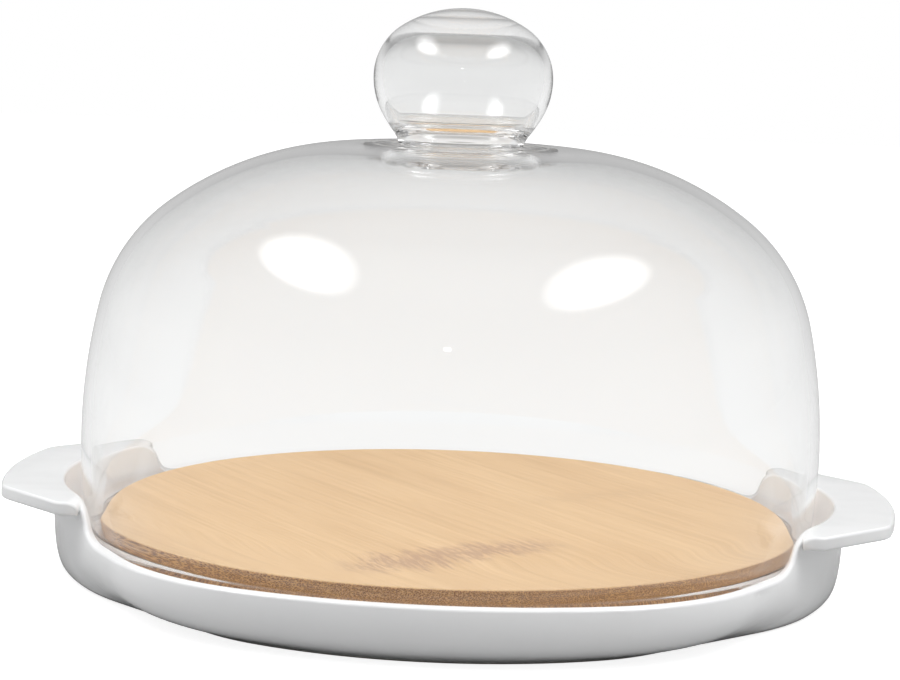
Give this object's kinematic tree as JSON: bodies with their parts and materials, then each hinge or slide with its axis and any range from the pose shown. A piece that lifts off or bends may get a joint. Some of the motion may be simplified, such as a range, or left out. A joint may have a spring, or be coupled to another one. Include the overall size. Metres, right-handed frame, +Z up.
{
  "type": "cheese dome",
  "caption": "Glass dome with a hollow knob over a round bamboo board in a white glazed tray with two lug handles; dome and board lift off.",
  "frame": {"origin": "on the surface that the tray stands on, under the centre of the tray", "axes": "+Z up along the dome's axis, +X along the two handles, +Y to the back"},
  "size_m": [0.304, 0.259, 0.1953],
  "materials": {
    "white_glaze": "smooth glossy white glaze",
    "bamboo": "sanded, lightly oiled laminated bamboo",
    "clear_glass": "clear blown glass, fire-polished rim"
  },
  "bodies": {
    "tray": {"ceramic_tray": "white_glaze"},
    "board": {"bamboo_board": "bamboo"},
    "dome": {"glass_dome": "clear_glass", "glass_knob": "clear_glass"}
  },
  "joints": [
    {"name": "dome_lift", "type": "slide", "parent": "tray", "child": "dome", "axis": [0, 0, 1], "range_m": [0, 0.2]},
    {"name": "board_lift", "type": "slide", "parent": "tray", "child": "board", "axis": [0, 0, 1], "range_m": [0, 0.04]}
  ]
}
